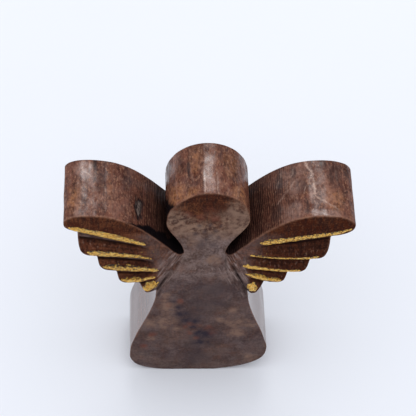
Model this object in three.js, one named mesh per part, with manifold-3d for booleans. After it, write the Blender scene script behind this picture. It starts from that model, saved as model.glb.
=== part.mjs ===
// A small free-standing angel, sawn from one thick board of hardwood and carved on its front:
// a blank dished face, a bell-shaped skirt, and two wings of five feathers each. Every feather's
// lower edge is a flat ridge that carries a stroke of gold.
//
// Millimetres, +Z up. The figure faces -Y. The origin is on the flat underside, on the centre line
// of the figure and halfway through the board.
import * as THREE from "three";
import { mergeVertices } from "three/addons/utils/BufferGeometryUtils.js";
import Module from "manifold-3d";

const wasm = await Module();
wasm.setup();

// ---------------------------------------------------------------- driving dimensions
const BOARD = 25.2; // thickness of the board, front to back
const FRONT = -BOARD / 2; // the uncarved front face lies on this plane
const BACK = BOARD / 2;
const HEIGHT = 101.5; // underside to crown

// Points are [x, z] in the front view, with x measured outwards from the centre line.
// A `bend` is the pair of control points of the cubic curve that leads up to its place.
const HEM_HALF_WIDTH = 25.5;
const WAIST = { at: [16.3, 48.4], bend: [[HEM_HALF_WIDTH, 22], [17.5, 34]] };
const NECK = { halfWidth: 7.3, z: 70.7, kerf: 1.6 }; // kerf: width of the saw cut's blunt end
const HEAD = { radius: 14.3, x: 0.75, jawZ: 86.2, bend: [[7.6, 77], [14.7, 81.2]] };
const HALF_RISE = 0.5523; // control-point length that makes a cubic follow a quarter circle

// How far the face is dished behind the front plane at each height, and the outline of the dish:
// it covers the whole head and narrows to the chest.
const FACE = {
  dish: [[61.6, 0], [66, 0.45], [72, 1.1], [80, 2.1], [87, 3.0], [92, 3.3], [97, 3.0], [103, 2.3]],
  edge: [[9.6, 57], [11.3, 60], [9.2, 66], [7.9, 70.8], [11.2, 75.8], [13.8, 79.5], [20, 90], [20, 104]],
};

// The channel that frees the body from each wing's root, from the saw cut down past the waist.
const ROOT_CHANNEL = {
  valley: 0.3, // where it is deepest, as a share of the way from body to wing
  stations: [
    { body: [7.0, 71.6], wing: [9.2, 72.0], depth: 0.3 },
    { body: [7.8, 68.8], wing: [11.4, 69.8], depth: 0.8 },
    { body: [9.4, 65.0], wing: [13.4, 66.0], depth: 1.1 },
    { body: [11.4, 60.0], wing: [15.0, 60.6], depth: 1.4 },
    { body: [13.6, 53.8], wing: [16.2, 54.4], depth: 1.7 },
    { body: [15.9, 48.6], wing: [17.8, 49.2], depth: 1.7 },
    { body: [18.4, 43.0], wing: [20.2, 43.8], depth: 1.7 },
  ],
};

// The groove between two feathers: full depth, and its depth along the way as shares of both.
const GROOVE = {
  depth: 1.8,
  stations: [
    [-0.04, -0.4], [0, 0.02], [0.06, 0.3], [0.14, 0.62], [0.26, 0.9], [0.45, 1], [0.7, 1], [1, 1], [1.5, 1],
  ],
};

// A gouge cut's two flanks are slightly hollow: each passes through a point part of the way to the
// deepest line and part of the way down.
const FLANK = { upper: [0.55, 0.72], lower: [0.5, 0.62] };
const LIFT = 0.05; // how far in front of the wood a cut begins
const CLEAR = 2; // how far in front of the wood a cut is carried, to be clear of it

const GILT = { thickness: 0.3, margin: 0.12, start: 0.03, end: 0.97 }; // margin: wood left bare

// Each side's hem: where the flat underside ends, and the curve from there up to the skirt's side.
// Then its wing's furthest point, its highest point, and its feathers from the top one down:
//   root, heel   the two ends of the feather's lower edge, which sags by `sag` between them
//   land         width of the flat, gilded ridge above the lower edge
//   step         where the rounded tip leaves the lower edge of the feather above
//   lean         how far the tip leans out (or in, when negative) on its way down from the step
//   valley       where the groove above is deepest, as a share of the way down to this feather
const WINGS = {
  left: {
    side: -1,
    hem: { flat: 12.5, bend: [[19, 0.6], [HEM_HALF_WIDTH, 2.2]], top: 10 },
    tip: [48.8, 87.4],
    crest: [40.5, 92.3],
    feathers: [
      { root: [20.0, 75.6], heel: [44.0, 83.8], sag: 0, land: 2.7 },
      {
        root: [17.6, 68.4], heel: [39.5, 70.3], sag: 0.6, land: 2.9,
        step: [43.9, 83.7], lean: 0.3, valley: 0.5,
      },
      {
        root: [15.6, 61.1], heel: [33.3, 61.9], sag: -0.5, land: 2.6,
        step: [37.8, 70.2], lean: -1.3, valley: 0.6,
      },
      {
        root: [16.2, 57.6], heel: [27.3, 54.6], sag: -1.6, land: 2.0,
        step: [31.1, 61.7], lean: -1.4, valley: 0.6,
      },
      {
        root: [16.0, 52.4], heel: [18.9, 48.5], sag: 0.3, land: 2.6,
        step: [23.3, 54.8], lean: -2.4, valley: 0.5,
      },
    ],
  },
  right: {
    side: 1,
    hem: { flat: 6, bend: [[15, 1.6], [HEM_HALF_WIDTH, 4]], top: 13 },
    tip: [51.2, 86.7],
    crest: [40.5, 92.6],
    feathers: [
      { root: [18.6, 76.0], heel: [43.3, 81.6], sag: 0, land: 2.1 },
      {
        root: [15.4, 70.4], heel: [39.5, 68.8], sag: -1.6, land: 1.5,
        step: [43.4, 81.5], lean: 0.2, valley: 0.3,
      },
      {
        root: [13.4, 63.6], heel: [33.5, 61.1], sag: -0.8, land: 1.9,
        step: [37.6, 68.7], lean: -1.3, valley: 0.35,
      },
      {
        root: [14.2, 59.4], heel: [26.5, 55.0], sag: -1.6, land: 1.8,
        step: [30.3, 61.0], lean: -1.4, valley: 0.38,
      },
      {
        root: [16.0, 52.6], heel: [18.2, 48.5], sag: 0.3, land: 3.0,
        step: [22.5, 55.2], lean: -2.4, valley: 0.4,
      },
    ],
  },
};

// ---------------------------------------------------------------- materials
const material = (color, roughness, metalness) =>
  new THREE.MeshStandardMaterial({ color, roughness, metalness });
const STAINED_WOOD = material(0x4f3329, 0.38, 0);
const GOLD = material(0xd9a63a, 0.35, 1);

// ---------------------------------------------------------------- feather edges
// A feather's lower edge as a curve from root (t = 0) to heel (t = 1), raised by `rise`. Beyond
// its ends the curve runs on straight.
function featherEdge({ root, heel, sag }, rise = 0) {
  const a = new THREE.Vector2(...root);
  const c = new THREE.Vector2(...heel);
  const b = a.clone().add(c).multiplyScalar(0.5).add(new THREE.Vector2(0, sag));
  const curve = new THREE.QuadraticBezierCurve(a, b, c);
  return (t) => {
    const inside = THREE.MathUtils.clamp(t, 0, 1);
    const run = curve.getTangent(inside).multiplyScalar((t - inside) * a.distanceTo(c));
    const point = curve.getPoint(inside).add(run);
    return new THREE.Vector2(point.x, point.y + rise);
  };
}

// ---------------------------------------------------------------- outline, seen from the front
// The rounded tips of the lower feathers, from the lowest up: along each lower edge to its heel,
// then round the tip to the step under the feather above.
function traceFeatherTips(path, feathers) {
  for (const { heel, step, lean } of feathers.slice(1).reverse()) {
    const rise = step[1] - heel[1];
    path.lineTo(...heel);
    path.bezierCurveTo(
      step[0] + lean, heel[1] + 0.03 * rise,
      step[0] + 0.35 * lean, heel[1] + 0.52 * rise,
      ...step,
    );
  }
  path.lineTo(...feathers[0].heel);
}

// The wing's tip and its arched top, then the saw cut down to the neck and its blunt end.
function traceWingTop(path, tip, crest) {
  const [x, z] = path.currentPoint.toArray();
  path.bezierCurveTo(tip[0] - 2.2, z + 0.6, tip[0], tip[1] - 1.6, ...tip);
  path.bezierCurveTo(tip[0], crest[1] - 1.8, crest[0] + 5.5, crest[1], ...crest);
  const cut = NECK.halfWidth + NECK.kerf;
  path.bezierCurveTo(crest[0] - 13, crest[1], 21, 85, cut + 1.2, NECK.z + 1.2);
  path.quadraticCurveTo(cut, NECK.z - 0.1, NECK.halfWidth, NECK.z);
}

// One half of the outline, from the middle of the underside up to the crown, on the side +x.
function halfOutline({ hem, tip, crest, feathers }, headX) {
  const path = new THREE.Path();
  path.moveTo(0, 0);
  path.lineTo(hem.flat, 0);
  path.bezierCurveTo(...hem.bend.flat(), HEM_HALF_WIDTH, hem.top);
  path.bezierCurveTo(...WAIST.bend.flat(), ...WAIST.at);
  traceFeatherTips(path, feathers);
  traceWingTop(path, tip, crest);
  const cheekX = headX + HEAD.radius;
  path.bezierCurveTo(...HEAD.bend.flat(), cheekX, HEAD.jawZ);
  path.bezierCurveTo(
    cheekX, THREE.MathUtils.lerp(HEAD.jawZ, HEIGHT, HALF_RISE),
    headX + HALF_RISE * HEAD.radius, HEIGHT,
    headX, HEIGHT,
  );
  return path;
}

// The whole outline as points, right half up and left half down.
function outlinePoints(divisions) {
  const halfPoints = (wing, headX) => halfOutline(wing, headX).getPoints(divisions);
  const right = halfPoints(WINGS.right, HEAD.x);
  const left = halfPoints(WINGS.left, -HEAD.x).map((p) => new THREE.Vector2(-p.x, p.y));
  return [...right, ...left.reverse()].filter(
    (p, i, all) => p.distanceTo(all[(i + 1) % all.length]) > 0.05,
  );
}

// ---------------------------------------------------------------- solids
// A closed geometry as a manifold-3d solid.
function solid(geometry) {
  const bare = geometry.clone();
  bare.deleteAttribute("normal");
  bare.deleteAttribute("uv");
  const merged = mergeVertices(bare, 1e-4);
  return new wasm.Manifold(
    new wasm.Mesh({
      numProp: 3,
      vertProperties: merged.getAttribute("position").array,
      triVerts: new Uint32Array(merged.index.array),
    }),
  );
}

function geometryOf(manifold) {
  const { vertProperties, triVerts } = manifold.getMesh();
  const geometry = new THREE.BufferGeometry();
  geometry.setAttribute("position", new THREE.BufferAttribute(vertProperties, 3));
  geometry.setIndex(new THREE.BufferAttribute(triVerts, 1));
  const flat = geometry.toNonIndexed();
  flat.computeVertexNormals();
  return flat;
}

// A flat shape in the front view, made solid from y = near to y = far.
function plate(points, near, far) {
  const geometry = new THREE.ExtrudeGeometry(new THREE.Shape(points), {
    depth: far - near,
    bevelEnabled: false,
  });
  return geometry.rotateX(Math.PI / 2).translate(0, far, 0);
}

// The solid swept through a row of flat closed sections that all have the same number of points.
// Each section stands on a line in the front view, and its first point is that line's near end.
function loft(sections) {
  const n = sections[0].length;
  const index = [];
  for (let s = 0; s + 1 < sections.length; s++) {
    for (let k = 0; k < n; k++) {
      const a = s * n + k;
      const b = s * n + ((k + 1) % n);
      index.push(a, b, a + n, b, b + n, a + n);
    }
  }
  const addCap = (section, firstIndex, sameWay) => {
    const [origin] = section;
    const flat = section.map((p) => new THREE.Vector2(Math.hypot(p.x - origin.x, p.z - origin.z), p.y));
    const reverse = THREE.ShapeUtils.isClockWise(flat) === sameWay;
    for (const face of THREE.ShapeUtils.triangulateShape(flat, [])) {
      const corners = reverse ? face.toReversed() : face;
      index.push(...corners.map((corner) => firstIndex + corner));
    }
  };
  addCap(sections[0], 0, false);
  addCap(sections.at(-1), (sections.length - 1) * n, true);
  const geometry = new THREE.BufferGeometry();
  const positions = sections.flat().flatMap((p) => p.toArray());
  geometry.setAttribute("position", new THREE.Float32BufferAttribute(positions, 3));
  geometry.setIndex(index);
  const made = solid(geometry);
  if (made.volume() > 0) return made;
  geometry.setIndex(index.toReversed());
  return solid(geometry);
}

// ---------------------------------------------------------------- gouge cuts
// One cross-section of a gouge cut, from its upper edge by way of its deepest line to its lower
// edge, closed in front of the wood.
function gougeSection(side, upper, lower, valley, depth) {
  const at = (share, deep) => {
    const { x, y: z } = upper.clone().lerp(lower, share);
    return new THREE.Vector3(side * x, FRONT + deep, z);
  };
  const { lerp } = THREE.MathUtils;
  return [
    at(0, -LIFT),
    at(valley * FLANK.upper[0], depth * FLANK.upper[1] - LIFT),
    at(valley, depth),
    at(lerp(valley, 1, FLANK.lower[0]), depth * FLANK.lower[1] - LIFT),
    at(1, -LIFT),
    at(1, -CLEAR),
    at(0, -CLEAR),
  ];
}

// The groove between two neighbouring feathers: it fades out at the root and runs off the tip.
function featherGroove(side, above, below) {
  const upper = featherEdge(above);
  const lower = featherEdge(below, below.land);
  const sections = GROOVE.stations.map(([t, share]) =>
    gougeSection(side, upper(t), lower(t), below.valley, share * GROOVE.depth),
  );
  return loft(sections);
}

function rootChannel(side) {
  const sections = ROOT_CHANNEL.stations.map(({ body, wing, depth }) =>
    gougeSection(side, new THREE.Vector2(...body), new THREE.Vector2(...wing), ROOT_CHANNEL.valley, depth),
  );
  return loft(sections);
}

// The scoop that dishes the face and slopes forward to the chest, kept off the wings.
function faceScoop() {
  const profile = new THREE.SplineCurve(FACE.dish.map(([z, deep]) => new THREE.Vector2(z, deep)));
  const depths = profile.getPoints(4 * FACE.dish.length);
  const front = FRONT - CLEAR;
  const section = (x) => [
    ...depths.map(({ x: z, y: deep }) => new THREE.Vector3(x, FRONT + deep - LIFT, z)),
    new THREE.Vector3(x, front, depths.at(-1).x),
    new THREE.Vector3(x, front, depths[0].x),
  ];
  const right = FACE.edge.map(([x, z]) => new THREE.Vector2(x, z));
  const left = FACE.edge.map(([x, z]) => new THREE.Vector2(-x, z)).reverse();
  const bounds = solid(plate([...right, ...left], front - 1, FRONT + BOARD / 4));
  const reach = FACE.edge.at(-1)[0] + 1;
  return loft([section(-reach), section(reach)]).intersect(bounds);
}

// ---------------------------------------------------------------- the pieces
// The whole figure in wood: one board, sawn to the outline and carved on its front.
function carvedFigure() {
  let wood = solid(plate(outlinePoints(9), FRONT, BACK)).subtract(faceScoop());
  for (const { side, feathers } of Object.values(WINGS)) {
    wood = wood.subtract(rootChannel(side));
    for (let i = 1; i < feathers.length; i++) {
      wood = wood.subtract(featherGroove(side, feathers[i - 1], feathers[i]));
    }
  }
  const mesh = new THREE.Mesh(geometryOf(wood), STAINED_WOOD);
  mesh.name = "carved_wooden_figure";
  return mesh;
}

// The stroke of gold on one feather's ridge, from just past its root to just short of its tip.
function gilding(name, side, feather) {
  const lowerEdge = featherEdge(feather, GILT.margin);
  const upperEdge = featherEdge(feather, feather.land - GILT.margin);
  const steps = 12;
  const share = (k) => THREE.MathUtils.lerp(GILT.start, GILT.end, k / steps);
  const below = Array.from({ length: steps + 1 }, (_, k) => lowerEdge(share(k)));
  const above = Array.from({ length: steps + 1 }, (_, k) => upperEdge(share(k))).reverse();
  const points = [...below, ...above].map((p) => new THREE.Vector2(side * p.x, p.y));
  const mesh = new THREE.Mesh(plate(points, FRONT - GILT.thickness, FRONT), GOLD);
  mesh.name = name;
  return mesh;
}

const angel = new THREE.Group();
angel.add(carvedFigure());
for (const [wingName, { side, feathers }] of Object.entries(WINGS)) {
  feathers.forEach((feather, i) => {
    angel.add(gilding(`${wingName}_feather_${i + 1}_gilding`, side, feather));
  });
}

export default angel;
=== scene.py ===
"""A small carved wooden angel with gilded feather edges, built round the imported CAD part.

The carved wood and the ten gold strokes are modelled here as fine meshes, in millimetres until they
become Blender objects. Shapes are worked out in the front view, as (x, z), and then carved to a
depth behind the board's front plane.
"""

import math

import bpy
import numpy as np
from mathutils import Matrix, Vector, geometry


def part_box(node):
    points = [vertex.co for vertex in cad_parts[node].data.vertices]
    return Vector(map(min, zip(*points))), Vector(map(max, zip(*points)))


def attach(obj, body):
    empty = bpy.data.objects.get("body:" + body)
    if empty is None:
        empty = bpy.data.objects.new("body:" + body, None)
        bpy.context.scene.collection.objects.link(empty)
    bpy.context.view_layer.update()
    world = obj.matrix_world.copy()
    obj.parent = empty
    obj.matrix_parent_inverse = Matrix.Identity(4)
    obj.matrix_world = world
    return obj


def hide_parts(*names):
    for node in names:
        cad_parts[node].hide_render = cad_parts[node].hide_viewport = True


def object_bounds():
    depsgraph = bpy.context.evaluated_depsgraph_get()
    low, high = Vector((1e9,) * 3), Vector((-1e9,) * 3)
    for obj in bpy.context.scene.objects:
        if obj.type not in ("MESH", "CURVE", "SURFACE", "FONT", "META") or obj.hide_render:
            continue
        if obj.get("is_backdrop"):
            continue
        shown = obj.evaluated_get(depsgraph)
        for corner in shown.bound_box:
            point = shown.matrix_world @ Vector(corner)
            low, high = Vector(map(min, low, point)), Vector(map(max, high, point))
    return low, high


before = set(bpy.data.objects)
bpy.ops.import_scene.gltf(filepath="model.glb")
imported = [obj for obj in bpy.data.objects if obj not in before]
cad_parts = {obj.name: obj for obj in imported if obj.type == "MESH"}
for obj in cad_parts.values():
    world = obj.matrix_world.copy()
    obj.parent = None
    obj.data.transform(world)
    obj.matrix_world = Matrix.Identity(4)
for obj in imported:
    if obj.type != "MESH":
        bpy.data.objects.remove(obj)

CAD_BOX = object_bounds()
MM = 0.001

# ---------------------------------------- camera
CAMERA = {
    "target": (1.073, 0.0, 81.34),
    "distance": 615.6,
    "azimuth": -4.868,
    "elevation": 51.0,
    "roll": 3.953,
    "lens": 153.54,
    "sensor": 36.0,
    "nearest": 10.0,
}


def add_camera():
    a, e, roll = (math.radians(CAMERA[k]) for k in ("azimuth", "elevation", "roll"))
    back = Vector((math.sin(a) * math.cos(e), -math.cos(a) * math.cos(e), math.sin(e)))
    right = (-back).cross(Vector((0, 0, 1))).normalized()
    up = right.cross(-back)
    x = right * math.cos(roll) + up * math.sin(roll)
    y = up * math.cos(roll) - right * math.sin(roll)
    camera = bpy.data.objects.new("Camera", bpy.data.cameras.new("Camera"))
    camera.data.lens = CAMERA["lens"]
    camera.data.sensor_width = CAMERA["sensor"]
    camera.data.clip_start = CAMERA["nearest"] * MM
    camera.matrix_world = Matrix((x, y, back)).transposed().to_4x4()
    camera.matrix_world.translation = (Vector(CAMERA["target"]) + back * CAMERA["distance"]) * MM
    bpy.context.collection.objects.link(camera)
    bpy.context.scene.camera = camera


add_camera()

# ---------------------------------------- shape
WOOD_LO, WOOD_HI = (np.array(corner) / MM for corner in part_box("carved_wooden_figure"))
FRONT = WOOD_LO[1]
BACK = WOOD_HI[1]
HEIGHT = WOOD_HI[2]

HEM_HALF = 25.5
WAIST = (16.3, 48.4)
NECK = {"half": 7.3, "z": 70.7, "kerf": 1.6}
HEAD = {"r": 14.3, "x": 0.75, "jaw": 86.2}
QUARTER_TURN = 0.5523  # how long a Bezier's handles are when it draws a quarter of a circle
ARRIS = 0.36  # radius of the worn edges
ARRIS_STEPS = 3
ROW_CROWDING = 1.35  # how much closer together the side's rows of points are near the front
SPACING = 0.42  # between the points of the carved front
BACK_SPACING = 1.6
SIDE_ROWS = 28

# How deep the face and chest are dished at each height, and how far out the dish reaches.
FACE_DISH = [(61.6, 0), (66, 0.45), (72, 1.1), (80, 2.1), (87, 3.0), (92, 3.3), (97, 3.0), (103, 2.3)]
CHEST_EDGE = [
    (44, 17.2), (54, 13.8), (60, 11.4), (66, 9.6), (70.8, 8.3), (75.8, 11.2), (79.5, 13.8), (90, 20),
]
DISH_OPENS = 71  # above this height the dish runs out through the sides

GROOVE_DEPTH = 1.8
# How much of its depth a groove has, against how far it has come from its root to its heel.
GROOVE_FADE = [(-0.04, 0), (0, 0.06), (0.06, 0.32), (0.14, 0.62), (0.26, 0.9), (0.45, 1)]
INNERMOST = 8  # the grooves stay further out than this


def feather(root, heel, sag, land, step=None, lean=0.0, valley=0.4):
    """One feather: its lower edge runs from root to heel, sagging in the middle, and its land is the
    flat strip left above that edge. The step is where its end meets the feather above."""
    shape = {"root": root, "heel": heel, "sag": sag, "land": land}
    return shape | {"step": step, "lean": lean, "valley": valley}


# The wings, with x outwards. The last entry gives each wing's grooves: how wide the dark line in each valley
# is, which is stain with painted shade, how much stain lies in them, and how much painted sheen and painted
# shade lie on their upper walls.
WINGS = [
    {
        "name": "left",
        "side": -1,
        "hem": {"flat": 12.5, "bend": ((19, 0.6), (HEM_HALF, 2.2)), "top": 10},
        "tip": (48.8, 87.4),
        "crest": (40.5, 92.3),
        "feathers": [
            feather((20.0, 75.6), (44.0, 83.8), 0, 2.7),
            feather((17.6, 68.4), (39.5, 70.3), 0.6, 2.9, (43.9, 83.7), 0.3, 0.5),
            feather((15.6, 61.1), (33.3, 61.9), -0.5, 2.6, (37.8, 70.2), -1.3, 0.6),
            feather((16.2, 57.6), (27.3, 54.6), -1.6, 2.0, (31.1, 61.7), -1.4, 0.6),
            feather((16.0, 52.4), (18.9, 48.5), 0.3, 2.6, (23.3, 54.8), -2.4, 0.5),
        ],
        "grooves": {"line": 0.7, "stain": 0.12, "strip_sheen": 0.7, "strip_shade": 0.0},
    },
    {
        "name": "right",
        "side": 1,
        "hem": {"flat": 6, "bend": ((15, 1.6), (HEM_HALF, 4)), "top": 13},
        "tip": (51.2, 86.7),
        "crest": (40.5, 92.6),
        "feathers": [
            feather((18.6, 76.0), (43.3, 81.6), 0, 2.1),
            feather((15.4, 70.4), (39.5, 68.8), -1.6, 1.5, (43.4, 81.5), 0.2, 0.3),
            feather((13.4, 63.6), (33.5, 61.1), -0.8, 1.9, (37.6, 68.7), -1.3, 0.35),
            feather((14.2, 59.4), (26.5, 55.0), -1.6, 1.8, (30.3, 61.0), -1.4, 0.38),
            feather((16.0, 52.6), (18.2, 48.5), 0.3, 3.0, (22.5, 55.2), -2.4, 0.4),
        ],
        "grooves": {"line": 1.0, "stain": 0.36, "strip_sheen": 0.0, "strip_shade": 0.62},
    },
]


# ---------------------------------------- noise
def spread(x, y, z):
    """Points as rows of x, y and z, from three arrays or numbers."""
    return np.stack(np.broadcast_arrays(x, y, z), -1).astype(float)


def hashed(cell, seed):
    """A random-looking number from -1 to 1 for each whole-number cell."""
    h = cell[..., 0] * 374761393 + cell[..., 1] * 668265263 + cell[..., 2] * 1440662683 + seed * 974711
    h = ((h & 0xFFFFFFFF) ^ ((h & 0xFFFFFFFF) >> 13)) * 1274126177 & 0xFFFFFFFF
    h = h ^ (h >> 16)
    return h / 0xFFFFFFFF * 2 - 1


def noise(points, size, seed=0):
    """Smooth noise from -1 to 1 with bumps of the given size, one number or one for each axis."""
    p = np.asarray(points, float) / np.asarray(size, float)
    cell = np.floor(p).astype(np.int64)
    f = p - cell
    f = f * f * f * (f * (f * 6 - 15) + 10)
    total = np.zeros(p.shape[:-1])
    for corner in np.ndindex(2, 2, 2):
        weight = np.prod(np.where(corner, f, 1 - f), axis=-1)
        total += weight * hashed(cell + np.array(corner), seed)
    return total


def fbm(points, size, octaves=3, seed=0):
    """Noise with finer and fainter noise on it, each octave half the size of the last."""
    size = np.asarray(size, float)
    parts = [noise(points, size / 2**k, seed + 17 * k) / 2**k for k in range(octaves)]
    return sum(parts) / 1.5


def ease(x, low=0.0, high=1.0):
    t = np.clip((x - low) / (high - low), 0, 1)
    return t * t * (3 - 2 * t)


def bump(x, centre, width):
    return np.exp(-(((x - centre) / width) ** 2))


def lookup(x, pairs):
    return np.interp(x, *zip(*pairs))


def unit(v):
    return v / np.linalg.norm(v, axis=-1, keepdims=True)


# ---------------------------------------- curves
def bezier(a, b, c, d, spacing):
    a, b, c, d = (np.array(p, float) for p in (a, b, c, d))
    t = np.linspace(0, 1, 200)[:, None]
    fine = (1 - t) ** 3 * a + 3 * (1 - t) ** 2 * t * b + 3 * (1 - t) * t**2 * c + t**3 * d
    return respace(fine, spacing)


def respace(points, spacing):
    """The same polyline with evenly spaced points, about the spacing apart."""
    points = np.asarray(points, float)
    run = np.concatenate([[0], np.cumsum(np.linalg.norm(np.diff(points, axis=0), axis=1))])
    n = max(2, int(math.ceil(run[-1] / spacing)) + 1)
    at = np.linspace(0, run[-1], n)
    return np.stack([np.interp(at, run, points[:, k]) for k in range(points.shape[1])], 1)


def edge_line(f, rise=0.0, t0=-0.3, t1=1.6, n=40):
    """A feather's lower edge, raised by rise, and run on straight past both ends. Also its t."""
    a, c = np.array(f["root"]), np.array(f["heel"])
    b = (a + c) / 2 + np.array([0, f["sag"]])
    t = np.linspace(t0, t1, n)
    inside = np.clip(t, 0, 1)[:, None]
    curve = (1 - inside) ** 2 * a + 2 * (1 - inside) * inside * b + inside**2 * c
    tangent = unit(2 * (1 - inside) * (b - a) + 2 * inside * (c - b))
    run = (t[:, None] - inside) * np.linalg.norm(c - a) * tangent
    return curve + run + np.array([0, rise]), t


def signed_offset(line, t, x, z):
    """Each point's distance to a line, positive on the left of its direction, and the t there."""
    p = np.stack([x, z], -1)
    best = np.full(x.shape, 1e9)
    sign = np.ones(x.shape)
    at = np.zeros(x.shape)
    for k in range(len(line) - 1):
        a, d = line[k], line[k + 1] - line[k]
        u = np.clip(((p - a) @ d) / (d @ d), 0, 1)
        away = p - (a + u[..., None] * d)
        dist = np.hypot(away[..., 0], away[..., 1])
        nearer = dist < best
        best = np.where(nearer, dist, best)
        sign = np.where(nearer, np.sign(d[0] * away[..., 1] - d[1] * away[..., 0]), sign)
        at = np.where(nearer, t[k] + u * (t[k + 1] - t[k]), at)
    return best * sign, at


# ---------------------------------------- outline
# Half the outline is a chain of named stretches, from the middle of the underside to the crown.
EDGE_STEP = 0.35  # between the outline's points round the feathers


def hem_and_skirt(hem):
    side = (HEM_HALF, hem["top"])
    yield "foot", respace([(0, 0), (hem["flat"], 0)], 0.8)
    yield "hem", bezier((hem["flat"], 0), *hem["bend"], side, 0.5)
    yield "skirt", bezier(side, (HEM_HALF, 22), (17.5, 34), WAIST, 0.6)


def feather_ends(feathers):
    here = WAIST
    for f in reversed(feathers[1:]):
        heel, step, lean = f["heel"], f["step"], f["lean"]
        rise = step[1] - heel[1]
        yield "under", respace([here, heel], EDGE_STEP)
        a = (step[0] + lean, heel[1] + 0.03 * rise)
        b = (step[0] + 0.35 * lean, heel[1] + 0.52 * rise)
        yield "quill", bezier(heel, a, b, step, EDGE_STEP)
        here = step
    yield "under", respace([here, feathers[0]["heel"]], EDGE_STEP)


def wing_top(wing):
    heel, tip, crest = wing["feathers"][0]["heel"], wing["tip"], wing["crest"]
    yield "tip", bezier(heel, (tip[0] - 2.2, heel[1] + 0.6), (tip[0], tip[1] - 1.6), tip, EDGE_STEP)
    yield "crest", bezier(tip, (tip[0], crest[1] - 1.8), (crest[0] + 5.5, crest[1]), crest, EDGE_STEP)


def notch_and_head(crest, head_x):
    cut = NECK["half"] + NECK["kerf"]
    low = (cut + 1.2, NECK["z"] + 1.2)
    yield "inner", bezier(crest, (crest[0] - 13, crest[1]), (21, 85), low, 0.15)
    neck = (NECK["half"], NECK["z"])
    yield "kerf", bezier(low, (cut + 0.4, NECK["z"] + 0.3), (cut - 0.5, NECK["z"] - 0.1), neck, 0.2)
    cheek = (head_x + HEAD["r"], HEAD["jaw"])
    yield "jaw", bezier(neck, (7.6, 77), (14.7, 81.2), cheek, 0.2)
    a = (cheek[0], cheek[1] + QUARTER_TURN * (HEIGHT - cheek[1]))
    b = (head_x + QUARTER_TURN * HEAD["r"], HEIGHT)
    yield "crown", bezier(cheek, a, b, (head_x, HEIGHT), 0.3)


def half_outline(wing, head_x):
    yield from hem_and_skirt(wing["hem"])
    yield from feather_ends(wing["feathers"])
    yield from wing_top(wing)
    yield from notch_and_head(wing["crest"], head_x)


def whole_outline():
    """Points round the outline, up the right side and down the left, with each point's stretch."""
    left, right = WINGS
    points, names = [], []
    for name, part in half_outline(right, HEAD["x"]):
        points.append(part[:-1])
        names += [name + "_right"] * (len(part) - 1)
    for name, part in reversed(list(half_outline(left, -HEAD["x"]))):
        part = part[::-1] * np.array([-1, 1])
        points.append(part[:-1])
        names += [name + "_left"] * (len(part) - 1)
    return np.concatenate(points), names


OUTLINE, STRETCH = whole_outline()
OUT_X, OUT_Z = OUTLINE.T
AHEAD = np.roll(OUTLINE, -1, 0) - OUTLINE
BEHIND = OUTLINE - np.roll(OUTLINE, 1, 0)
RUN = np.concatenate([[0], np.cumsum(np.linalg.norm(AHEAD, axis=1))])[:-1]
TANGENT = unit(unit(AHEAD) + unit(BEHIND))
NORMAL = np.stack([TANGENT[:, 1], -TANGENT[:, 0]], 1)


def on_stretch(*names):
    """Which outline points are on any of the stretches, named with or without their side."""
    return np.array([s in names or s.split("_")[0] in names for s in STRETCH])


# ---------------------------------------- carving
# The lines where the root of each wing is cut free of the body. Each runs from the saw cut down,
# with the cut's reach towards the body and towards the wing, and its depth along the way.
ROOT_CUTS = {
    "left": [
        {
            "line": [(7.9, 71.0), (9.3, 66.5), (11.2, 61.6), (14.1, 54.1), (16.6, 47.5)],
            "reach": (1.9, 3.6),
            "depths": [0.2, 0.45, 0.8, 1.3, 1.7],
        },
    ],
    "right": [
        {
            "line": [(7.5, 70.8), (7.5, 66.5), (7.9, 63.0), (8.9, 59.5), (10.5, 56)],
            "reach": (1.5, 2.2),
            "depths": [0.3, 0.8, 0.8, 0.45, 0],
        },
        {
            "line": [(9.3, 66.5), (10.3, 63.5), (12.8, 56.6), (15.1, 50.5), (16.4, 47)],
            "reach": (2.2, 1.7),
            "depths": [0, 0.8, 1.4, 1.7, 1.8],
        },
    ],
}
SCORE_LEAN = 0.42  # how far the scores beside the arm's root lean out for each step down
SCORE_TOP = 70
# How greyish and bloomed the carved front is at each height: down the face and chest, and the body.
# The grey is partly painted sheen, and the darker wood left where it fades out under the head's rim is
# painted shade.
FACE_HAZE = [
    (58, 0.5), (63, 0.7), (70, 0.92), (78, 0.9), (84, 0.78), (87.5, 0.52), (90.5, 0.2), (93, 0.04), (96, 0),
]
BODY_HAZE = [(0, 0.9), (8, 0.85), (22, 0.8), (40, 0.8), (56, 0.82), (64, 0.85)]

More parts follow.
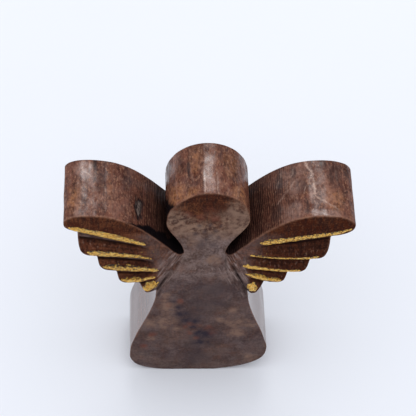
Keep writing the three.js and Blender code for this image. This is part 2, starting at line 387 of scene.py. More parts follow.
# Places on the carved front, as x, z and radius.
PLACES = {
    "blot": [  # where the stain has gone blue-black
        (-10.2, 43.4, 1.4), (-8.5, 39.6, 2), (-6.4, 35.6, 2.5), (-4.3, 32.8, 2.4), (-1.8, 31.4, 1.9),
        (-2.5, 27.4, 1.3), (0, 23.8, 2.4), (2.2, 21.6, 2.2), (0.8, 17.2, 2.5), (0.5, 13.2, 1.9),
        (3.4, 18, 1.4),
    ],
    "shade": [  # where it lies thicker and cooler, with soft edges
        (-0.5, 81.2, 0.9), (1.8, 79.2, 1), (3.6, 81.5, 0.9), (4.6, 78.6, 1), (0.4, 77.4, 0.8),
        (-3.4, 80, 0.9), (5.2, 83.8, 0.9), (-2.2, 83.8, 0.9), (1.5, 84.2, 0.8), (-1.5, 75, 2.2),
        (2.6, 74.4, 1.7), (4.5, 50, 6.5), (0.5, 41, 5.5), (-3, 33, 5), (1, 20, 6), (0, 8, 5), (6.5, 43, 4),
    ],
    "ember": [  # where it is reddish
        (-7.7, 43.6, 1.5), (-10.9, 41, 1.4), (-3.6, 29.4, 1.5), (-5.2, 28.2, 1.2), (0, 28.7, 1.6),
        (2.6, 27.4, 1.5), (3, 87.5, 1.4), (-2, 88, 1.8), (-6, 90, 1.6), (0.5, 92, 2.4), (4.6, 23.6, 1.4),
        (-1.2, 20.6, 1.2), (-3.4, 23.6, 1.3), (-17.5, 23, 1.6), (-20, 15, 1.6),
    ],
    "tan": [  # where it has been rubbed thin, to a lighter brown
        (-11.6, 40, 3.6), (-12.4, 31, 3.6), (-17.8, 30, 2.8), (-9, 26.5, 2), (13.7, 31, 3.6),
        (18.5, 29, 2.4), (-4.2, 76.5, 2.4), (5.5, 79, 2), (9.6, 89, 2.8), (-8.8, 82.4, 2.2),
        (8.8, 82.4, 2.4), (3.5, 67.5, 2.2), (14, 23.5, 2.8), (19.5, 8, 2.6), (7, 32.5, 1.8),
        (-12.5, 47.5, 1.8), (12, 38, 1.8), (-17.5, 20, 1.8),
    ],
}
RAGGED = {"shade": 0.3}  # how ragged the places' edges are, where not 1


def spots(x, z, places, ragged):
    """How near each point is to any of the places (x, z, radius), from 0 to 1, with ragged edges."""
    near = np.zeros_like(x)
    for px, pz, r in places:
        away = np.hypot(x - px, z - pz) + r * ragged
        near = np.maximum(near, ease(1.6 * r - away, 0, 1.5 * r))
    return near


def leave(marks, name, value):
    """Add to a mark on the surface, keeping the stronger of the old and the new."""
    marks[name] = np.maximum(marks[name], value)


def carve_dish(x, z, marks):
    """The depth of the dished face and the slope of the chest."""
    here, out = spread(x, 0, z), np.abs(x)
    edge = lookup(z, CHEST_EDGE)
    in_dish = np.where(z > DISH_OPENS, (out < edge) * 1.0, ease(edge - out, -0.2, 1.6))
    scallop = 0.7 * noise(here, 3.1, 8)
    shallow = 1 - 0.34 * bump(x, -9.5, 4.5) * ease(z, 88, 95)
    depth = in_dish * shallow * lookup(z + scallop * bump(z, 62, 3), FACE_DISH)
    depth += in_dish * ease(z, 66, 78) * 0.07 * noise(here, 1.9, 11)

    # Where the grey stops under the head's rim, the darker wood left is painted shade; the line dips at both
    # sides to keep that shade to the middle of the face.
    hairline = z + 1.6 + 2.4 * noise(here, 3.2, 13)
    hairline -= 8.0 * ease(x, 3, 10) + 6.5 * ease(-x, 4.5, 9.5)
    face = lookup(np.where(z > 80, hairline, z), FACE_HAZE)
    body = lookup(z, BODY_HAZE) + 0.10 * ease(out, 8, 22)
    leave(marks, "haze_and_sheen", np.where(z > 60, in_dish * face, 0))
    leave(marks, "haze_and_sheen", ease(64 - z, 0, 4) * ease(edge + 4 - out, 0, 3) * body)
    leave(marks, "haze_and_sheen", (z < 47) * body)
    collar = bump(z + 0.05 * x, 62.3 + scallop, 1.1) * ease(11 - out, 0, 3)
    ticks = noise(spread(x + 0.3 * z, 0, z), (0.7, 1, 4), 49)
    leave(marks, "fan", 0.9 * collar * ease(ticks, 0.0, 0.5))
    marks["face"] = in_dish * ease(z, 75, 83)
    marks["body"] = ease(61 - z, 0, 8)
    return depth


def carve_groove(wing, above, below, xm, z, marks):
    """The depth of the groove between one feather's edge and the next one's land, and its reach."""
    groove_tone = wing["grooves"]
    upper, t = edge_line(above)
    lower, _ = edge_line(below, below["land"])
    d_up, t_up = signed_offset(upper, t, xm, z)
    d_low, t_low = signed_offset(lower, t, xm, z)
    inside = (xm > INNERMOST) & (d_up < 0) & (d_low > 0)
    gap = np.maximum(d_low - d_up, 1e-6)
    share = np.where(inside, -d_up / gap, 0)
    along = (t_up + t_low) / 2
    fade = lookup(along, GROOVE_FADE) * inside
    length = np.linalg.norm(np.subtract(above["heel"], above["root"]))
    streak = noise(spread(along * length, 0, share * 10), (7, 1, 0.8), 21)

    valley = valley_share(below, along)
    down = np.clip(share / valley, 0, 1) ** 0.6
    up = np.clip((1 - share) / (1 - valley), 0, 1) ** 0.8
    depth = fade * GROOVE_DEPTH * np.minimum(down, up)
    depth += fade * 0.09 * streak * ease(share, 0.02, 0.2) * ease(1 - share, 0, 0.15)

    past = (share - valley) * gap
    # Stain in the valley, with painted shade along its deepest line.
    leave(marks, "dark", fade * bump(past, -0.2 + 0.25 * streak, groove_tone["line"]))
    leave(marks, "dark", fade * groove_tone["stain"])
    leave(marks, "dark", fade * 0.6 * ease(streak, 0.0, 0.6))
    strip = inside * ease(share * gap, 0.1, 0.5) * ease(-past, 0.5, 1.1)
    strip = strip * ease(along, 0, 0.1) * (0.75 + 0.4 * streak)
    # On the groove's upper wall: painted sheen on the left wing, painted shade on the right wing.
    leave(marks, "haze_and_sheen", strip * groove_tone["strip_sheen"])
    leave(marks, "dark", strip * groove_tone["strip_shade"])
    # A painted reflection: the pale band just under the groove's upper edge.
    leave(marks, "lip", inside * bump(d_up, -0.3, 0.45) * ease(along, 0.05, 0.2))
    # The flank below the valley faces up; the front's colour paints light on it.
    leave(marks, "slope", fade * ease(past, 0.3, 1.2))
    return depth, fade


def valley_share(below, along):
    """Where a groove is deepest, as a share of the way down from its upper edge."""
    return below["valley"] + 0.02 * np.sin(along * 5)


def carve_root(wing, arm, xm, x, z, marks):
    """The depth of the cuts along the arm's root, and of the fine scores beside them."""
    depth, fan = np.zeros_like(x), np.zeros_like(x)
    broken = 0.8 + 0.4 * noise(spread(x, 0, z), 1.8, 47)
    for cut in ROOT_CUTS[wing["name"]]:
        t = np.linspace(0, 1, len(cut["line"]))
        dense = respace(np.column_stack([cut["line"], t]), 0.8)
        d, at = signed_offset(dense[:, :2], dense[:, 2], xm, z)
        to_body, to_wing = cut["reach"]
        across = np.clip(1 - np.abs(d) / np.where(d > 0, to_wing, to_body), 0, 1) ** 1.3
        depth += np.interp(at, t, cut["depths"]) * across * (xm > 4)
        strong = np.interp(at, t, ease(np.array(cut["depths"]), 0.1, 1.4)) * (xm > 4)
        # Stain along the root cut, with painted shade in its depth.
        leave(marks, "dark", strong * bump(d, 0, 0.42) * broken)
        fan = np.maximum(fan, ease(xm, 6.5, 8.5) * np.clip(1 - np.abs(d - 1.5) / 5.0, 0, 1))
    fan *= (1 - arm) * (z > 46) * (z < 74)
    leave(marks, "fan", fan)
    rays = noise(spread(xm - SCORE_LEAN * (SCORE_TOP - z), 0, z), (0.9, 1, 9), 31)
    return depth + fan * 0.11 * rays


def carve_wing(wing, x, z, marks):
    xm = wing["side"] * x
    depth, arm = np.zeros_like(x), np.zeros_like(x)
    for above, below in zip(wing["feathers"], wing["feathers"][1:]):
        groove, fade = carve_groove(wing, above, below, xm, z, marks)
        depth += groove
        arm = np.maximum(arm, fade)
    depth += carve_root(wing, arm, xm, x, z, marks)
    reach = ease(27 - xm + (z - 78) * 0.4, 0, 8) * ease(z, 46, 50) * ease(84 - z, 0, 3)
    arm_skin = ease(xm - lookup(z, CHEST_EDGE), -1.5, 1) * reach * (1 - arm)
    # The arms' greyish cast, partly painted sheen.
    leave(marks, "haze_and_sheen", (0.66 - 0.34 * ease(z, 61, 71)) * arm_skin)
    return depth


def carve(x, z):
    """How deep the front is carved at each point, and what the cut leaves on the surface there.

    dark: stain gathered in the cut, and painted shade in the deepest cuts and along the foot.  lip: how near
    a sharp upper edge is, where a painted reflection is laid.  haze: the greyish, bloomed look of the
    scraped face, chest and arms, partly painted sheen.  fan: the fine scores where the arm meets the body.
    slope: a groove's lit, streaked flank.  face and body: which of those parts it is.
    blot, shade, ember and tan: the places listed above.
    """
    x, z = np.asarray(x, float), np.asarray(z, float)
    here = spread(x, 0, z)
    marks = {name: np.zeros_like(x) for name in ("dark", "lip", "haze_and_sheen", "fan", "slope")}
    depth = 0.07 * fbm(here, 9, 2, 3) + 0.02 * fbm(here, 1.6, 2, 5)
    depth += carve_dish(x, z, marks)
    for wing in WINGS:
        depth += carve_wing(wing, x, z, marks)
    # Painted shade along the foot of the front, where it meets the floor.
    leave(marks, "dark", 0.6 * ease(0.9 - z, 0, 0.7))
    marks["haze_and_sheen"] *= 0.92 + 0.16 * noise(here, 2.6, 41)
    ragged = 0.75 * fbm(here, 2.6, 3, 43)
    for name, places in PLACES.items():
        marks[name] = spots(x, z, places, RAGGED.get(name, 1) * ragged)
    return depth, {name: np.clip(value, 0, 1) for name, value in marks.items()}


# ---------------------------------------- sawn sides
# Where two hand-sanded flats meet, as (x, z) near the outline, and how far the meeting line drifts
# along the outline from the front of the board to the back.
CREASES = [
    (18.5, 1, 0.6), (22.9, 3.6, -0.5), (25, 8, 0.4), (24.7, 15.5, 0.8), (22, 26, -0.6), (49.6, 84.9, 0.4),
    (51.1, 87.6, -0.4), (49, 90.6, 0.5), (45.4, 92, 0.9), (40.9, 92.6, -0.6), (35.2, 92, 1.6),
    (29.6, 90.5, -1.2), (24, 86.9, 0.8), (14.9, 88.5, 0.4), (13.2, 93.6, -0.6), (10.3, 97.9, 0.8),
    (6.9, 100.2, -0.5), (3.4, 101.3, 0.5), (-1, 101.4, -0.3), (-5.4, 100.1, 0.9), (-10.4, 96.2, -0.7),
    (-12.6, 92, 0.6), (-13.5, 88.5, -0.4), (-26, 88.5, 0.9), (-32, 91.2, -0.9), (-38.6, 92.2, 0.6),
    (-43.9, 91.9, 1.4), (-46.6, 90.8, 0.7), (-48.4, 88.9, -0.5), (-47.8, 85.6, 0.3), (-22, 26, 0.6),
    (-24.7, 15.5, -0.7), (-25, 8, 0.5), (-22.9, 3.6, -0.4), (-18.5, 1, 0.5),
]
SAW_PITCH = 0.85
KNOT = {"x": -22.9, "y": -3.4, "lean": 0.09, "half_width": 1.35, "half_length": 5.2, "depth": 0.4}

# Marks on the tops of the wings and head, seen from above: x, y, half width, half length, strength.
TOP_MARKS = {
    "stain": [
        (44.6, 6, 2, 5, 0.7), (48.8, 8.5, 1.1, 3.6, 0.55), (33, 1.5, 1.6, 3.4, 0.5),
        (34.4, -6.8, 0.6, 2.8, 0.7), (41, 10.5, 1.2, 1.8, 0.8), (-12.8, 8.5, 0.9, 3, 0.4),
        (24, -6, 1.4, 4, 0.6), (30.5, 9, 0.9, 3, 0.7), (25.5, 7, 1, 5, 0.6), (-38.3, 10.8, 0.7, 2.2, 0.8),
        (-36, 3, 1.5, 5, 0.35), (-6.3, 2, 0.5, 5, 0.9), (-8.8, 6, 1.6, 5, 0.5), (5, 8, 0.6, 5, 0.3),
        (-27, 8, 1.2, 5, 0.5),
    ],
    # Pale waxy patches, which also paint the tops' highlights.
    "bloom_and_highlight": [
        (-42.2, 9.3, 2.3, 3, 0.9), (-44.3, -9, 1.1, 3, 0.7), (-43.4, -1, 1, 4, 0.6), (-32, -4, 5, 6, 0.25),
        (36.2, -2.6, 1.6, 1.5, 0.9), (30.5, 6, 3.6, 7, 0.8), (41.5, 1, 2.8, 9, 0.6), (24.5, 9, 3, 4, 0.5),
        (28.5, -8, 5, 4, 0.6), (40.5, -10.6, 5.5, 1.6, 0.7), (39, 2, 2, 6, 0.4), (30.5, 3, 1.2, 6, 0.5),
        (0.8, -1, 2.6, 8, 0.9), (3.9, -6, 1.2, 6, 0.5), (-10.8, 8, 1.2, 4.5, 0.6),
    ],
    "ember": [
        (-10.5, -8, 2.6, 4.5, 0.9), (-6.5, -10, 2.6, 2, 0.7), (11, -8.5, 2.4, 4, 0.8), (-4, 5, 2, 6, 0.5),
        (8, 4, 2.5, 6, 0.4), (-45, -4.5, 2, 5, 0.8), (43.5, -5, 3, 4, 0.7), (-33, 1, 1, 5, 0.3),
    ],
    "shine": [  # where the tops have kept their shine
        (0.4, -1.5, 2.4, 9, 0.52), (-1.2, -6.5, 0.4, 6, 1), (3.6, -6, 0.4, 6, 1),
        (13.3, 6.5, 1.6, 5.5, 0.9), (-12.3, 7.5, 1.9, 4.5, 0.8), (-41.9, 8, 2.5, 4.5, 1),
        (-43.8, -8.5, 1.3, 4.5, 0.8), (-41.5, -1, 1.2, 5, 0.5), (-33, -3, 4, 8, 0.35),
        (36.4, 1, 1.1, 7, 0.5), (29, -8, 4, 4, 0.7), (40.5, -10.4, 5, 1.6, 0.9), (30.3, 4, 1.5, 6, 0.6),
        (7, -3, 1, 9, 0.4), (47.5, -8, 1.5, 4, 0.4), (26.5, 8, 3.5, 5, 0.6), (32, 10, 3, 3, 0.5),
    ],
}
TOPS_FROM = 79  # the tops' marks and the knot stay above this height
# How far back from the front edge the left wing's inner side is stained black, against x outwards.
BLACK_EDGE = [(7, 9), (11, 6.2), (14, 5), (17, 3.6), (20, 2.8), (22, 2.2), (24.5, 1.5), (26.5, 0.9), (28, 0)]


def nearest_run(x, z):
    return RUN[np.argmin(np.hypot(OUT_X - x, OUT_Z - z))]


CREASE_RUN = np.array([nearest_run(x, z) for x, z, _ in CREASES])
CREASE_DRIFT = np.array([drift for _, _, drift in CREASES])
TURN = np.cross(np.roll(TANGENT, 3, 0), np.roll(TANGENT, -3, 0))
BEND = TURN / np.maximum(np.linalg.norm(np.roll(OUTLINE, -3, 0) - np.roll(OUTLINE, 3, 0), axis=1), 1e-6)


def saw_share():
    """How strongly the blade's lines still show at each outline point."""
    share = 1.0 * on_stretch("kerf") + 0.45 * on_stretch("under") + 0.3 * on_stretch("quill")
    start = np.where(OUT_X > 0, 31.0, 28.0)
    share = np.where(on_stretch("inner"), ease(start - np.abs(OUT_X), -3, 13), share)
    return np.where(on_stretch("jaw"), 0.8 * (1 - ease(OUT_Z, 76, 84)), share)


def notch_share():
    """How far down each notch beside the head a point is, where the stain was never wiped off; its
    near-black colour there is stain with painted shade.
    """
    start = np.where(OUT_X < 0, 20, 19)
    into = ease(start - np.abs(OUT_X), 0, 9) * ease(86 - OUT_Z, 0, 7)
    return on_stretch("inner", "kerf", "jaw") * into


SAW = saw_share()
NOTCH = notch_share()


def black_edge(y):
    """The stain along the front edge of the left wing's inner side, and the painted shadow under the head's
    left side.
    """
    p = spread(OUT_X, y, OUT_Z)
    reach = lookup(-OUT_X, BLACK_EDGE) * (1.2 + 0.4 * noise(p, 2.2, 97))
    edge = on_stretch("inner_left", "kerf_left") * ease(reach - (y - FRONT), -0.2, 0.3)
    # The painted shadow under the head's left side, reaching less high further back.
    wedge = 96.6 - 0.8 * (y - FRONT) + 1.2 * noise(p, 1.8, 99)
    under = on_stretch("jaw_left", "crown_left") * ease(wedge - OUT_Z, -0.4, 2.2)
    return np.maximum(edge, under)


def oval_marks(y, places):
    """How near each outline point of the tops is, at depth y, to any of the oval places."""
    near = np.zeros(len(RUN))
    ragged = 0.6 * fbm(spread(OUT_X, y, OUT_Z), 2.4, 3, 91)
    for x, at, half_width, half_length, strength in places:
        away = np.hypot((OUT_X - x) / half_width, (y - at) / half_length) + ragged
        near = np.maximum(near, strength * ease(1.6 - away, 0, 1.1))
    return near * (OUT_Z > TOPS_FROM)


def sanded_flats(depth_share, y):
    """How far the hand-sanded flats stand in from the outline, and how near each crease is."""
    meets = CREASE_RUN + CREASE_DRIFT * (depth_share - 0.5)
    meets = meets + 0.35 * noise(spread(meets, y, 0), (3, 5, 1), 51)
    k = np.searchsorted(meets, RUN) % len(meets)
    after, before = meets[k], meets[k - 1]
    width = after - before
    u = np.clip((RUN - before) / np.where(np.abs(width) < 1e-6, 1, width), 0, 1)
    flat = (width > 1) & (width < 13) & (BEND > 0.004)
    sag = np.clip(np.where(flat, BEND * width**2 / 8, 0), 0, 0.5)
    flatness = 0.55 + 0.35 * noise(spread(before, y, 0), (2, 8, 1), 57)
    crease = flat * bump(np.minimum(RUN - before, after - RUN), 0, 0.3)
    return flatness * sag * np.sin(math.pi * u) ** 1.5, crease


def knot_shape(p, y):
    """Where the knot is, and its pale heart."""
    away = (OUT_X - KNOT["x"] - KNOT["lean"] * (y - KNOT["y"])) / KNOT["half_width"]
    away = np.hypot(away, (y - KNOT["y"]) / KNOT["half_length"]) + 0.45 * noise(p, (0.8, 1.6, 0.8), 95)
    knot = ease(1.5 - away, 0, 0.8) * (OUT_Z > TOPS_FROM)
    return knot, ease(0.8 - away, 0, 0.4) * (knot > 0)


def side_relief(depth_share, y):
    """How far each outline point stands out from the nominal outline at one depth, and the marks
    on the surface there."""
    p, along = spread(OUT_X, y, OUT_Z), spread(RUN, y, 0)
    flats, crease = sanded_flats(depth_share, y)
    lifted = ease(OUT_Z, 0.3, 4)
    low = ease(58 - OUT_Z, 0, 6)
    relief = lifted * (0.09 - 0.06 * low) * fbm(p, (7, 9, 7), 2, 61) - flats
    relief += lifted * (0.04 - 0.037 * low) * fbm(p, (2.2, 3.6, 2.2), 3, 63)
    phase = RUN / SAW_PITCH + 0.5 * noise(along, (6, 7, 1), 71)
    line = 0.5 - 0.5 * np.cos(2 * math.pi * phase)
    strength = 0.5 + 0.5 * noise(along, (1.3, 12, 1), 73)
    relief -= SAW * 0.07 * line * (0.4 + 0.6 * strength)
    knot, heart = knot_shape(p, y)
    relief -= KNOT["depth"] * knot
    marks = {name: oval_marks(y, places) for name, places in TOP_MARKS.items()}
    marks["sawn"] = np.ones(len(RUN))
    marks["saw"] = SAW * (0.65 + 0.35 * strength)
    # The notches: stain with painted shade; and the black edge: stain on the left wing's inner side, painted
    # shadow under the head's left side.
    marks["notch"] = np.maximum(0.85 * NOTCH, black_edge(y))
    marks.update(crease=crease, low=low, knot=knot, heart=heart)
    return relief, marks


# ---------------------------------------- wood mesh
MARKS = [
    "sawn", "wear", "dark", "lip", "haze_and_sheen", "fan", "slope", "blot", "ember", "saw", "crease", "notch", "knot",
    "heart", "stain", "bloom_and_highlight", "run", "face", "body", "tan", "shade", "low", "shine",
]  # the wood's attributes, which its material reads


def triangulate(loop, lines, spacing):
    """A triangulation of the inside of a closed loop, with grid points and creases along lines.
    Gives points, triangles and, for each loop point, its index among the points."""
    lo, hi = loop.min(0), loop.max(0)
    xs = np.arange(lo[0], hi[0], spacing)
    zs = np.arange(lo[1], hi[1], spacing * 0.866)
    gx, gz = np.meshgrid(xs, zs)
    gx = gx + (np.arange(len(zs)) % 2)[:, None] * spacing / 2
    grid = np.stack([gx.ravel(), gz.ravel()], 1)
    closed = np.vstack([loop, loop[:1]])
    grid = grid[keep_clear(grid, closed, 0.75 * spacing) & inside_loop(grid, loop)]
    points = [Vector(p) for p in loop]
    edges = [(i, (i + 1) % len(loop)) for i in range(len(loop))]
    for line in lines:
        line = line[keep_clear(line, closed, 0.5 * spacing) & inside_loop(line, loop)]
        if len(line) < 3:
            continue
        grid = grid[keep_clear(grid, line, 0.5 * spacing)]
        first = len(points)
        points += [Vector(p) for p in line]
        gaps = np.linalg.norm(np.diff(line, axis=0), axis=1)
        edges += [(first + k, first + k + 1) for k in range(len(line) - 1) if gaps[k] < 2 * spacing]
    points += [Vector(p) for p in grid]
    outline = [list(range(len(loop)))]
    verts, _, faces, origin, _, _ = geometry.delaunay_2d_cdt(points, edges, outline, 1, 1e-6)
    index = np.full(len(loop), -1)
    for new, olds in enumerate(origin):
        for old in olds:
            if old < len(loop):
                index[old] = new
    return np.array([v[:] for v in verts]), [list(f) for f in faces], index


def keep_clear(points, line, gap):
    """Which points are further than the gap from a line."""
    ok = np.ones(len(points), bool)
    for a, b in zip(line[:-1], line[1:]):
        near = np.all((points > np.minimum(a, b) - gap) & (points < np.maximum(a, b) + gap), axis=1)
        if not near.any():
            continue
        d = b - a
        u = np.clip(((points[near] - a) @ d) / max(d @ d, 1e-12), 0, 1)
        ok[np.where(near)[0]] &= np.linalg.norm(points[near] - (a + u[:, None] * d), axis=1) > gap
    return ok


def inside_loop(points, loop):
    inside = np.zeros(len(points), bool)
    for a, b in zip(loop, np.roll(loop, -1, 0)):
        crosses = (a[1] > points[:, 1]) != (b[1] > points[:, 1])
        if not crosses.any():
            continue
        at = a[0] + (points[:, 1] - a[1]) / (b[1] - a[1] + 1e-12) * (b[0] - a[0])
        inside ^= crosses & (points[:, 0] < at)
    return inside


def crease_lines():
    """The sharp lines of the carving, for the mesh to follow."""
    lines = []
    for wing in WINGS:
        flip = np.array([wing["side"], 1])
        for above, below in zip(wing["feathers"], wing["feathers"][1:]):
            upper, t = edge_line(above, 0, 0.0, 1.6)
            lower, _ = edge_line(below, below["land"], 0.0, 1.6)
            middle = upper + (lower - upper) * valley_share(below, t)[:, None]
            lines += [respace(line * flip, 0.4) for line in (upper, middle, lower)]
        for cut in ROOT_CUTS[wing["name"]]:
            lines.append(respace(np.array(cut["line"]) * flip, 0.4))
    return lines


def side_columns(front_y):
    """Each row of points from the front face round the arris, along the sawn side and round the
    back arris: how far out it stands, its depth, and how much of it is sawn side."""
    turns = [(k / ARRIS_STEPS, math.pi / 2 * k / ARRIS_STEPS) for k in range(ARRIS_STEPS + 1)]
    columns = []
    for share, a in turns:
        columns.append((-ARRIS * (1 - math.sin(a)), front_y + ARRIS * (1 - math.cos(a)), share))
    start, end = front_y + ARRIS, BACK - ARRIS
    for k in range(1, SIDE_ROWS):
        columns.append((0.0, start + (end - start) * (k / SIDE_ROWS) ** ROW_CROWDING, 1.0))
    for share, a in reversed(turns):
        y = np.full_like(front_y, BACK - ARRIS * (1 - math.cos(a)))
        columns.append((-ARRIS * (1 - math.sin(a)), y, share))
    return columns


def blank_marks(count):
    return {name: np.zeros(count) for name in MARKS}


def wood_sides():
    """The points and marks of the sides, one array of each for every column."""
    inset = OUTLINE - NORMAL * ARRIS
    front_depth, front_marks = carve(inset[:, 0], inset[:, 1])
    front_y = FRONT + front_depth
    high = ease(OUT_Z, 66, 80) * np.where(np.abs(OUT_X) < 15, 0.5, 1)
    verts, data = [], []
    for push, y, on_side in side_columns(front_y):
        share = np.clip((y - FRONT) / (BACK - FRONT), 0, 1)
        relief, side_marks = side_relief(float(share.mean()), float(y.mean()))
        place = OUTLINE + NORMAL * (push + relief * on_side)[:, None]
        verts.append(np.stack([place[:, 0], y, np.maximum(place[:, 1], 0)], 1))
        values = blank_marks(len(RUN))
        # The worn front arris, paler and stronger higher up, also paints the highlight the rounded edge
        # catches.
        values["wear"] = bump(y - front_y, 0.3, 0.36) * (0.15 + 0.85 * high)
        values["run"] = RUN
        for marks, part in ((side_marks, on_side), (front_marks, 1 - on_side)):
            for name, value in marks.items():
                values[name] = values[name] + value * part
        data.append(values)
    return verts, data


def front_face(x, z):
    depth, marks = carve(x, z)
    return FRONT + depth, marks


def back_face(x, z):
    return BACK + 0.04 * fbm(spread(x, 0, z), 12, 2, 81) - 0.04, {"haze_and_sheen": np.full(len(x), 0.3)}


def wood_mesh():
    """The sides, with the front and back faces sewn to their first and last column."""
    verts, data = wood_sides()
    n, last = len(OUTLINE), len(verts) - 1
    faces = []
    for j in range(last):
        for i in range(n):
            k = (i + 1) % n
            faces.append((j * n + i, (j + 1) * n + i, (j + 1) * n + k, j * n + k))
    total = n * len(verts)
    ends = ((0, front_face, crease_lines(), SPACING), (last, back_face, [], BACK_SPACING))
    for column, face, lines, gap in ends:
        flat, tris, index = triangulate(verts[column][:, [0, 2]], lines, gap)
        new = np.full(len(flat), -1)
        new[index] = column * n + np.arange(n)
        fresh = np.where(new < 0)[0]
        new[fresh] = total + np.arange(len(fresh))
        total += len(fresh)
        x, z = flat[fresh].T
        y, marks = face(x, z)
        verts.append(np.stack([x, y, z], 1))
        data.append(blank_marks(len(x)) | marks)
        for tri in tris:
            a, b, c = (flat[i] for i in tri)
            outward = (b[0] - a[0]) * (c[1] - a[1]) - (b[1] - a[1]) * (c[0] - a[0]) > 0
            tri = tri if outward == (face is front_face) else tri[::-1]
            faces.append(tuple(int(new[i]) for i in tri))
    return np.concatenate(verts), faces, {name: np.concatenate([d[name] for d in data]) for name in MARKS}


def make_object(name, verts, faces, data, material, sharp=None):
    mesh = bpy.data.meshes.new(name)
    mesh.from_pydata((verts * MM).tolist(), [], faces)
    mesh.validate()
    for key, values in data.items():
        layer = mesh.attributes.new(key, "FLOAT", "POINT")
        layer.data.foreach_set("value", np.asarray(values, np.float32))
    mesh.shade_smooth()
    if sharp:
        mesh.set_sharp_from_angle(angle=math.radians(sharp))
    mesh.materials.append(material)
    piece = bpy.data.objects.new(name, mesh)
    bpy.context.collection.objects.link(piece)
    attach(piece, "root")
    return piece


# ---------------------------------------- gilding
# Each feather's stroke of gold as (x, z, width) along its middle, x outwards, and how worn it is.
STROKES = {
    "left": [
        ([(20.2, 76.4, 1.3), (26, 78.9, 2.3), (31.5, 81.1, 2.9),
          (37.5, 83.0, 2.9), (43.2, 84.9, 2.5), (47.4, 86.2, 1.5)], 0.55),
        ([(17.9, 68.5, 0.7), (23.5, 70.1, 1.8), (29.3, 70.9, 2.5),
          (34, 71.4, 3.1), (38.4, 71.9, 2.9), (41.2, 72.6, 1.7)], 0.9),
        ([(15.4, 62.0, 1.9), (21.1, 62.6, 2.5), (26.9, 63.1, 2.9),
          (31.6, 63.4, 2.7), (35.8, 64.2, 2.1)], 1.0),
        ([(16.4, 58.2, 1.1), (20, 57.0, 1.8), (23.5, 56.1, 2.3),
          (26.8, 55.9, 2.4), (29.4, 56.8, 2.0)], 0.7),
        ([(15.3, 54.9, 1.5), (17.4, 52.8, 3.4), (19.4, 51.0, 4.0), (21.4, 49.6, 2.4)], 0.2),
    ],
    "right": [
        ([(18.4, 77.4, 1.9), (22.6, 78.4, 3.1), (28.6, 79.5, 2.5), (35, 81.1, 2.1),
          (41, 82.4, 1.9), (46.3, 83.8, 1.7), (50.2, 86.1, 1.2)], 0.8),
        ([(15.4, 71.0, 1.3), (19, 69.9, 1.7), (23.2, 69.2, 1.5),
          (30.6, 68.8, 1.2), (37, 69.2, 1.3), (40.4, 70.2, 1.4)], 0.9),
        ([(13.1, 64.9, 2.1), (17.5, 63.7, 2.1), (23.3, 62.5, 1.5),
          (29, 61.8, 1.2), (34.6, 62.0, 1.2)], 0.4),
        ([(14.4, 60.2, 1.5), (18.5, 58.6, 2.0), (23.5, 56.7, 1.9), (28.2, 56.1, 1.5)], 0.5),
        ([(15.9, 54.4, 2.2), (17.6, 52.3, 4.0), (18.9, 50.4, 3.6), (19.4, 49.8, 2.2)], 0.15),
    ],
}
# Flecks of gold that fell beside a stroke: which wing and feather, x, z and size.
FLECKS = [
    ("left", 1, 17.8, 72.6, 0.8), ("left", 1, 20.5, 75.4, 0.5), ("left", 1, 21.8, 72.2, 0.9),
    ("left", 1, 19.4, 71, 0.6), ("left", 1, 23.6, 73, 0.5), ("right", 1, 27.7, 66.3, 0.7),
    ("right", 1, 19, 72.6, 0.6), ("right", 1, 21.5, 71.4, 0.8), ("right", 1, 31.5, 70.6, 0.7),
    ("right", 1, 35.5, 71.2, 0.6), ("right", 0, 23, 76, 0.5), ("left", 3, 13.4, 58.6, 0.6),
]
GOLD_STEP = 0.22  # between the points along a stroke
GOLD_ACROSS = 13  # points across it
GOLD_ROOT = 0.12  # how far its underside is sunk into the wood
GOLD_MARGIN = 0.12  # how far it keeps from the edge of the figure


def held_inside(points, margin):
    """The points, with any that lie within margin of the outline, or past it, moved back inside."""
    gap = points[:, None, :] - OUTLINE[None, ::2, :]
    nearest = np.argmin(np.linalg.norm(gap, axis=2), axis=1) * 2
    out = np.sum((points - OUTLINE[nearest]) * NORMAL[nearest], axis=1)
    close = np.linalg.norm(points - OUTLINE[nearest], axis=1) < 3
    push = np.where(close, np.maximum(out + margin, 0), 0)
    return points - NORMAL[nearest] * push[:, None]


def smoothed(path, window=31):
    """A path with its corners rounded by a running mean."""
    dense = respace(path, 0.1)
    padded = np.pad(dense, ((window // 2, window // 2), (0, 0)), mode="edge")
    kernel = np.ones(window) / window
    dense = np.stack([np.convolve(padded[:, k], kernel, "valid") for k in range(3)], 1)
    return respace(dense, GOLD_STEP)


def slab_faces(n, m):
    """The faces of a closed slab whose top is n rows of m points, with as many below."""
    below = n * m
    faces = []
    for i in range(n - 1):
        for j in range(m - 1):
            a, b, c, e = i * m + j, (i + 1) * m + j, (i + 1) * m + j + 1, i * m + j + 1
            faces.append((a, b, c, e))
            faces.append((below + a, below + e, below + c, below + b))
    rim = list(range(m)) + [i * m + m - 1 for i in range(1, n)]
    rim += [(n - 1) * m + j for j in range(m - 2, -1, -1)] + [i * m for i in range(n - 2, 0, -1)]
    for a, b in zip(rim, rim[1:] + rim[:1]):
        faces.append((a, b, below + b, below + a))
    return faces


